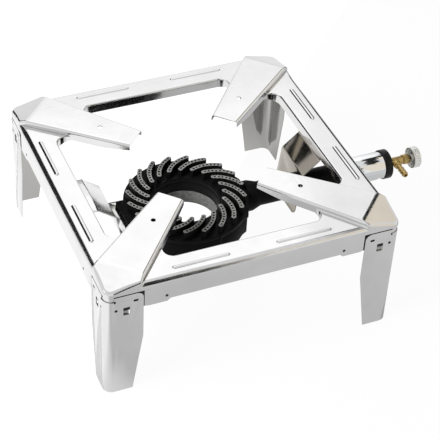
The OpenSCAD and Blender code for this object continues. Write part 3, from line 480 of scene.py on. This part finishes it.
stand_polish = polished_sheet("polished_sheet", stand_grain, steel, ripple=0.05, lines=press_lines)
dull_sheet_and_painted_shade = mottled(
    "dull_sheet_and_painted_shade", metallic=1.0, colour=mill_grey_and_painted_shade, scale=300, smooth=0.32, rough=0.5, stretch=mill_grain)
painted_shade = mottled("painted_shade", metallic=0.0, colour=painted_shade_black, scale=400, smooth=0.6, rough=0.9)
for finish in (stand_polish, dull_sheet_and_painted_shade, painted_shade, dull_sheet_and_painted_shade):
    stand_top.data.materials.append(finish)
punches.data.materials.append(painted_shade)
dressed = bpy.context.evaluated_depsgraph_get()
stand_top.data = bpy.data.meshes.new_from_object(stand_top.evaluated_get(dressed))
stand_top.modifiers.clear()
bpy.data.objects.remove(punches)
bpy.data.objects.remove(ribs)
stand_top.data.polygons.foreach_set("use_smooth", [True] * len(stand_top.data.polygons))
stand_top.data.set_sharp_from_angle(angle=sharp_edge)
level = stand_top.modifiers.new("level_panels", "WEIGHTED_NORMAL")
level.keep_sharp = True
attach(stand_top, "stand")
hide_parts("stand_frame")

# Legs: four angles folded from the same stainless sheet, with the grain upright and only the outer side
# polished. The darker grey of the inner side is painted shade for the dim space under the stand that it
# mirrors. They lie flush over the apron's corners and are fixed by hooks bent round its lower edge.
leg_inside_painted_shade = (0.40, 0.395, 0.385)
leg_grain = (1, 1, 0.06)


def dress(node, finish, edge):
    """Gives a CAD node its finish, smooth curves and slightly broken edges."""
    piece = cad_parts[node]
    piece.data.materials.clear()
    piece.data.materials.append(finish)
    piece.data.polygons.foreach_set("use_smooth", [True] * len(piece.data.polygons))
    joined = piece.modifiers.new("joined", "WELD")
    joined.merge_threshold = 0.002 * mm
    flat = piece.modifiers.new("flat", "DECIMATE")
    flat.decimate_type = "DISSOLVE"
    flat.angle_limit = math.radians(0.5)
    broken = piece.modifiers.new("broken_edges", "BEVEL")
    broken.limit_method = "ANGLE"
    broken.angle_limit = sharp_edge
    broken.width = edge
    broken.segments = 2
    broken.use_clamp_overlap = True
    broken.harden_normals = True


def leg_inside(finish):
    """1 on the inner side of the angle, 0 on the outer side and round its fold."""
    tree = finish.node_tree
    last = tree.nodes.new("ShaderNodeTexCoord").outputs["Object"]
    core = half_side - corner_round
    for operation, value in (
        ("SUBTRACT", stand_mid), ("ABSOLUTE", None), ("SUBTRACT", (core, core, 0)),
        ("MAXIMUM", (0, 0, 0)), ("MULTIPLY", (1, 1, 0)),
    ):
        made = tree.nodes.new("ShaderNodeVectorMath")
        made.operation = operation
        if value is not None:
            made.inputs[1].default_value = value
        tree.links.new(last, made.inputs[0])
        last = made.outputs["Vector"]
    reach = tree.nodes.new("ShaderNodeVectorMath")
    reach.operation = "LENGTH"
    tree.links.new(last, reach.inputs[0])
    inner = corner_round - 0.7 * sheet
    outer = corner_round - 0.3 * sheet
    return between(finish, reach.outputs["Value"], 1, 0, inner, outer)


leg_sheet = polished_sheet("leg_sheet", leg_grain, steel, ripple=0.12)
leg_links = leg_sheet.node_tree.links
leg_base = leg_sheet.node_tree.nodes["Principled BSDF"].inputs["Base Color"]
leg_colour = leg_sheet.node_tree.nodes.new("ShaderNodeMix")
leg_colour.data_type = "RGBA"
leg_colour.inputs["B"].default_value = (*leg_inside_painted_shade, 1)
leg_links.new(leg_inside(leg_sheet), leg_colour.inputs["Factor"])
leg_links.new(leg_base.links[0].from_socket, leg_colour.inputs["A"])
leg_links.new(leg_colour.outputs["Result"], leg_base)
for leg in ("leg_front_left", "leg_front_right", "leg_rear_right", "leg_rear_left"):
    dress(leg, leg_sheet, edge=0.2 * mm)

# Brackets: two folded strips of bright steel that carry the burner, spot welded behind the window's
# flange. The one at the tube is given a darker, brownish steel colour.
brownish_tone = (0.36, 0.33, 0.29)
bracket_grain = (0.3, 1, 0.3)
bracket_steel = polished_sheet("bracket_steel", bracket_grain, steel, ripple=0.1)
brownish_steel = polished_sheet("brownish_steel", bracket_grain, brownish_tone, ripple=0.35)
dress("lug_bracket", bracket_steel, edge=0.25 * mm)
dress("tube_bracket", brownish_steel, edge=0.25 * mm)

# Burner body: the lower casting, with the ring chamber, the neck and the mixing tube in one piece. It is
# sand cast in iron and painted with black stove paint, and the lower part of its eye is bored smooth.
stove_black = (0.005, 0.005, 0.0053)
bare_iron = (0.30, 0.30, 0.29)
burner_offset = 15.5 * mm
eye_middle = stand_mid - Vector((burner_offset, 0, 0))
bore = 46.5 * mm
bore_height = 19.5 * mm
bore_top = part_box("burner_body")[0].z + bore_height
bore_fade = 0.3 * mm
bore_bareness = 0.55


def combined(finish, operation, first, second):
    """Two values multiplied, or the greater of them, as the operation says."""
    made = finish.node_tree.nodes.new("ShaderNodeMath")
    made.operation = operation
    finish.node_tree.links.new(first, made.inputs[0])
    finish.node_tree.links.new(second, made.inputs[1])
    return made.outputs["Value"]


def height_over(finish, low, high):
    """0 at one height of the piece, 1 at another, and held beyond them."""
    tree = finish.node_tree
    place = tree.nodes.new("ShaderNodeTexCoord")
    split = tree.nodes.new("ShaderNodeSeparateXYZ")
    tree.links.new(place.outputs["Object"], split.inputs["Vector"])
    return between(finish, split.outputs["Z"], 0, 1, low, high)


def cast_iron(name, tooled):
    """Painted sand casting: a grainy black skin, soft pits, and bare grey iron where it was tooled."""
    made, shader = new_finish(name, metallic=0.0, colour=stove_black, roughness=0.42)
    shader.inputs["Specular IOR Level"].default_value = 0.06
    sand = noise(made, scale=900, detail=5)
    pits = noise(made, scale=240, detail=3)
    bare = combined(made, "MULTIPLY", tooled(made), between(made, pits, low=0.55, high=1.0))
    links = made.node_tree.links
    links.new(tinted(made, bare, stove_black, bare_iron), shader.inputs["Base Color"])
    links.new(between(made, pits, low=0.34, high=0.52), shader.inputs["Roughness"])
    coarse = bumped(made, pits, strength=0.35, depth=0.25 * mm)
    links.new(bumped(made, sand, strength=0.3, depth=0.1 * mm, over=coarse), shader.inputs["Normal"])
    return made


def bored(finish):
    """The grey band bored smooth in the lower half of the ring's eye."""
    tree = finish.node_tree
    place = tree.nodes.new("ShaderNodeTexCoord")
    plan = tree.nodes.new("ShaderNodeVectorMath")
    plan.operation = "MULTIPLY"
    plan.inputs[1].default_value = (1, 1, 0)
    reach = tree.nodes.new("ShaderNodeVectorMath")
    reach.operation = "DISTANCE"
    reach.inputs[1].default_value = eye_middle
    tree.links.new(place.outputs["Object"], plan.inputs[0])
    tree.links.new(plan.outputs["Vector"], reach.inputs[0])
    inside = between(finish, reach.outputs["Value"], bore_bareness, 0, bore, bore + bore_fade)
    return combined(finish, "MULTIPLY", inside, height_over(finish, bore_top + bore_fade, bore_top))


dress("burner_body", cast_iron("cast_iron", bored), edge=1.0 * mm)

# Burner head: the upper iron casting, a deck with a lug and a ring of curved vanes with rows of ports. It
# is screwed to the body from below, and its vane tops are ground level, so that they show bare iron.
vane_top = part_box("burner_head")[1].z
grind_low = 0.9 * mm
grind_high = 0.5 * mm


def turned_to(finish, axis, low, high):
    """0 to 1 as the surface turns from one share of an axis to another."""
    tree = finish.node_tree
    surface = tree.nodes.new("ShaderNodeNewGeometry")
    split = tree.nodes.new("ShaderNodeSeparateXYZ")
    tree.links.new(surface.outputs["True Normal"], split.inputs["Vector"])
    return between(finish, split.outputs[axis], 0, 1, low, high)


def ground(finish):
    """The level tops of the vanes."""
    upward = turned_to(finish, "Z", low=0.6, high=0.9)
    at_top = height_over(finish, vane_top - grind_low, vane_top - grind_high)
    return combined(finish, "MULTIPLY", upward, at_top)


dress("burner_head", cast_iron("cast_iron_head", ground), edge=0.45 * mm)

# Screws and washers: small fasteners of zinc plated steel. They hold the head, the lug and the sleeve from
# below, and the knob from its front.
zinc_grey = (0.62, 0.62, 0.58)


def plated(name, colour, roughness, mottle=1.0):
    """A plated finish, more or less mottled."""
    made, shader = new_finish(name, metallic=1.0, colour=colour, roughness=roughness)
    cloud = noise(made, scale=400, detail=5)
    smooth = roughness * (1 - 0.3 * mottle)
    rough = roughness * (1 + 0.4 * mottle)
    links = made.node_tree.links
    links.new(between(made, cloud, smooth, rough), shader.inputs["Roughness"])
    links.new(bumped(made, cloud, strength=0.015 * mottle, depth=0.03 * mm), shader.inputs["Normal"])
    return made


zinc = plated("zinc", zinc_grey, roughness=0.3)
for fastener in ("head_screws", "lug_screws", "lug_washers", "sleeve_screw", "knob_screw"):
    dress(fastener, zinc, edge=0.2 * mm)

# Sleeve: a chromed steel tube with air windows below, slid over the mouth of the mixing tube. One screw
# holds it there, and its end wall carries the valve.
chrome_pale = (0.80, 0.81, 0.82)
dress("mixer_sleeve", plated("chrome", chrome_pale, roughness=0.07), edge=0.15 * mm)

# Air ring: a short tube of black enamelled steel round the sleeve. It is free to slide along it, and covers
# more or less of the air windows.
enamel_black = (0.004, 0.004, 0.004)
ring_black = mottled(
    "ring_black", metallic=0.0, colour=enamel_black, scale=300, smooth=0.25, rough=0.45)
ring_shader = ring_black.node_tree.nodes["Principled BSDF"]
ring_shader.inputs["Specular IOR Level"].default_value = 0.25
dress("air_ring", ring_black, edge=0.2 * mm)

# Valve: a needle valve turned from brass, with its lock nut, jet, hose barb, gland nut and stem. It is
# clamped in the sleeve's end wall, and a soft black packing under the gland nut seals the stem.
brass_dark = (0.44, 0.31, 0.11)
brass_bright = (0.60, 0.44, 0.19)
packing_black = (0.02, 0.02, 0.02)


def turned_brass(name):
    """Brass with fine rings from the lathe and faint stains."""
    made, shader = new_finish(name, metallic=1.0, colour=brass_dark, roughness=0.34)
    rings = noise(made, scale=1800, stretch=(1, 0.02, 0.02), detail=2)
    stain = noise(made, scale=120)
    links = made.node_tree.links
    links.new(tinted(made, stain, brass_dark, brass_bright), shader.inputs["Base Color"])
    links.new(between(made, stain, low=0.26, high=0.42), shader.inputs["Roughness"])
    links.new(bumped(made, rings, strength=0.04, depth=0.03 * mm), shader.inputs["Normal"])
    return made


brass = turned_brass("brass")
for piece in ("valve_body", "lock_nut", "gas_jet", "hose_barb", "gland_nut", "valve_stem"):
    dress(piece, brass, edge=0.15 * mm)
soft_black = mottled(
    "soft_black", metallic=0.0, colour=packing_black, scale=500, smooth=0.55, rough=0.8)
dress("gland_packing", soft_black, edge=0.1 * mm)

# Knob: a nickel plated casting with a grooved rim, which sits on the stem's end and is held by one
# screw. Its rim and front are bright, and its back is painted dark grey as painted shade in its hollow.
bright_nickel = (0.93, 0.93, 0.91)
painted_shade_nickel = (0.22, 0.22, 0.21)
nickel = plated("nickel", bright_nickel, roughness=0.38, mottle=0.1)
nickel_base = nickel.node_tree.nodes["Principled BSDF"].inputs["Base Color"]
knob_back_shade_mask = turned_to(nickel, "X", low=-0.5, high=-0.8)
nickel.node_tree.links.new(tinted(nickel, knob_back_shade_mask, bright_nickel, painted_shade_nickel), nickel_base)
dress("valve_knob", nickel, edge=0.2 * mm)

# Studio: a white floor in a white room with a dimmer ceiling. In the steel's reflections the floor has a
# painted shadow in front and a painted pool of light at the back left. Soft lamps stand behind, above
# and at the left, and the steel doesn't mirror the side lamp. Dark cloths and two cream boards round the
# room show only in reflections.
floor_reach = 6
floor_pale = (0.86, 0.86, 0.86)
room_level = 0.3
to_back_left = (-0.7, 0.7, 0)
floor_shape = bmesh.new()
bmesh.ops.create_grid(floor_shape, x_segments=1, y_segments=1, size=floor_reach)
studio_floor = new_piece("studio_floor", floor_shape)


def shown_white(finish):
    """1 for rays from the camera alone, and 1 for those from gloss or through glass too."""
    path = finish.node_tree.nodes.new("ShaderNodeLightPath").outputs
    by_camera = path["Is Camera Ray"]
    mirrored = combined(finish, "MAXIMUM", path["Is Glossy Ray"], path["Is Transmission Ray"])
    return by_camera, combined(finish, "MAXIMUM", by_camera, mirrored)


floor_finish, floor_shader = new_finish("floor_white", metallic=0.0, colour=floor_pale, roughness=0.9)
floor_tree = floor_finish.node_tree
floor_place = floor_tree.nodes.new("ShaderNodeTexCoord")
floor_way = floor_tree.nodes.new("ShaderNodeVectorMath")
floor_way.operation = "DOT_PRODUCT"
floor_way.inputs[1].default_value = to_back_left
floor_tree.links.new(floor_place.outputs["Object"], floor_way.inputs[0])
backward = floor_way.outputs["Value"]
# In reflections the floor glows less near and in front of the stand, a painted shadow, and more at the back
# left, a painted pool of light.
painted_light_pool = between(floor_finish, backward, low=0.58, high=1.15, from_low=0.0, from_high=0.09)
painted_shadow_fade = between(floor_finish, backward, low=1.18, high=1.0, from_low=-0.40, from_high=-0.05)
floor_shade = combined(floor_finish, "MULTIPLY", painted_light_pool, painted_shadow_fade)
by_camera, by_gloss = shown_white(floor_finish)
glow = floor_tree.nodes.new("ShaderNodeEmission")
floor_tree.links.new(combined(floor_finish, "MAXIMUM", by_camera, floor_shade), glow.inputs["Strength"])
plain = between(floor_finish, by_camera, low=0.9, high=0.95, from_low=0, from_high=1)
blend = floor_tree.nodes.new("ShaderNodeMixShader")
floor_tree.links.new(combined(floor_finish, "MULTIPLY", by_gloss, plain), blend.inputs["Fac"])
floor_tree.links.new(floor_shader.outputs["BSDF"], blend.inputs[1])
floor_tree.links.new(glow.outputs["Emission"], blend.inputs[2])
floor_tree.links.new(blend.outputs["Shader"], floor_tree.nodes["Material Output"].inputs["Surface"])
studio_floor.data.materials.append(floor_finish)

room = bpy.data.worlds.new("studio_room")
bpy.context.scene.world = room
room.use_nodes = True
room_tree = room.node_tree
room_light = room_tree.nodes["Background"]
room_light.inputs["Color"].default_value = (1, 1, 1, 1)
room_way = room_tree.nodes.new("ShaderNodeTexCoord")
room_split = room_tree.nodes.new("ShaderNodeSeparateXYZ")
room_tree.links.new(room_way.outputs["Generated"], room_split.inputs["Vector"])
upward = room_split.outputs["Z"]
wall_to_ceiling = between(room, upward, low=0.95, high=0.85, from_low=0.35, from_high=0.8)
by_camera, by_gloss = shown_white(room)
levels = room_tree.nodes.new("ShaderNodeMapRange")
levels.inputs["To Min"].default_value = room_level
room_tree.links.new(by_gloss, levels.inputs["Value"])
room_tree.links.new(combined(room, "MAXIMUM", by_camera, wall_to_ceiling), levels.inputs["To Max"])
room_tree.links.new(levels.outputs["Result"], room_light.inputs["Strength"])

aimed_at = Vector((0, 0, 0.15))


def facing(place):
    """Turns a lamp or a board at a place towards the burner."""
    aim = aimed_at - Vector(place)
    return Matrix.Translation(place) @ aim.to_track_quat("-Z", "Y").to_matrix().to_4x4()


def softbox(name, place, size, brightness, mirrored=True):
    """A square area lamp aimed at the burner, of a given brightness to the eye."""
    lamp = bpy.data.lights.new(name, "AREA")
    lamp.shape = "SQUARE"
    lamp.size = size
    lamp.energy = brightness * math.pi * size * size
    made = bpy.data.objects.new(name, lamp)
    bpy.context.scene.collection.objects.link(made)
    made.matrix_world = facing(place)
    made.visible_glossy = mirrored


softbox("side_lamp", place=(-1.6, -0.3, 1.5), size=1.2, brightness=13.0, mirrored=False)
softbox("back_lamp", place=(0.80, 1.95, 1.85), size=2.1, brightness=0.27)
softbox("near_back_lamp", place=(0.38, 1.36, 1.7), size=0.9, brightness=0.24)
softbox("top_lamp", place=(-0.25, 0.85, 2.05), size=1.1, brightness=0.55)
softbox("left_lamp", place=(-2.0, 0.2, 1.5), size=0.8, brightness=0.6)
cloth_black = new_finish("cloth_black", metallic=0.0, colour=(0.02, 0.02, 0.02), roughness=1.0)[0]
board_cream, board_shader = new_finish("board_cream", metallic=0.0, colour=(0, 0, 0), roughness=1.0)
board_shader.inputs["Emission Color"].default_value = (1.0, 0.92, 0.78, 1)
board_shader.inputs["Emission Strength"].default_value = 0.9


def hung(name, place, width, height, finish):
    """A cloth or board that only reflections show."""
    shape = bmesh.new()
    bmesh.ops.create_grid(shape, x_segments=1, y_segments=1, size=0.5)
    bmesh.ops.scale(shape, vec=(width, height, 1), verts=shape.verts)
    bmesh.ops.transform(shape, matrix=facing(place), verts=shape.verts)
    made = new_piece(name, shape)
    made.data.materials.append(finish)
    made.visible_camera = False
    made.visible_diffuse = False
    made.visible_shadow = False


hung("front_cloth", place=(0.15, -2.1, 1.5), width=1.1, height=3.2, finish=cloth_black)
hung("low_back_cloth", place=(-1.15, 1.95, 1.15), width=1.7, height=2.1, finish=cloth_black)
hung("ceiling_cloth", place=(0.92, 0.0, 1.6), width=1.6, height=0.45, finish=cloth_black)
hung("right_gap_cloth", place=(1.55, 1.25, 1.9), width=0.5, height=1.3, finish=cloth_black)
hung("low_right_cloth", place=(1.9, 1.6, 0.75), width=0.8, height=1.4, finish=cloth_black)
hung("front_board", place=(1.75, -2.0, 1.5), width=1.8, height=2.6, finish=board_cream)
hung("right_board", place=(2.0, 0.75, 2.0), width=0.9, height=1.1, finish=board_cream)

# Camera: fitted to the stand's edges in the photograph, at a real distance from the stand. It looks down
# from the front left and leans a little to one side.
focal_pixels = 1469.2
image_pixels = 440
azimuth = math.radians(-24.734)
elevation = math.radians(40.647)
roll = math.radians(3.376)
camera_from_stand = Vector((-607.13, -1398.04, 1381.12)) * mm
back = Vector((
    math.sin(azimuth) * math.cos(elevation), -math.cos(azimuth) * math.cos(elevation), math.sin(elevation)))
level_right = Vector((math.cos(azimuth), math.sin(azimuth), 0))
level_up = back.cross(level_right)
right = math.cos(roll) * level_right + math.sin(roll) * level_up
up = math.cos(roll) * level_up - math.sin(roll) * level_right
lens = bpy.data.cameras.new("photo_camera")
lens.sensor_width = 36
lens.lens = lens.sensor_width * focal_pixels / image_pixels
lens.clip_end = 50
camera = bpy.data.objects.new("photo_camera", lens)
bpy.context.scene.collection.objects.link(camera)
turned = Matrix((right, up, back)).transposed().to_4x4()
camera.matrix_world = Matrix.Translation(stand_mid + camera_from_stand) @ turned
bpy.context.scene.camera = camera
bpy.context.scene.view_settings.view_transform = "Standard"
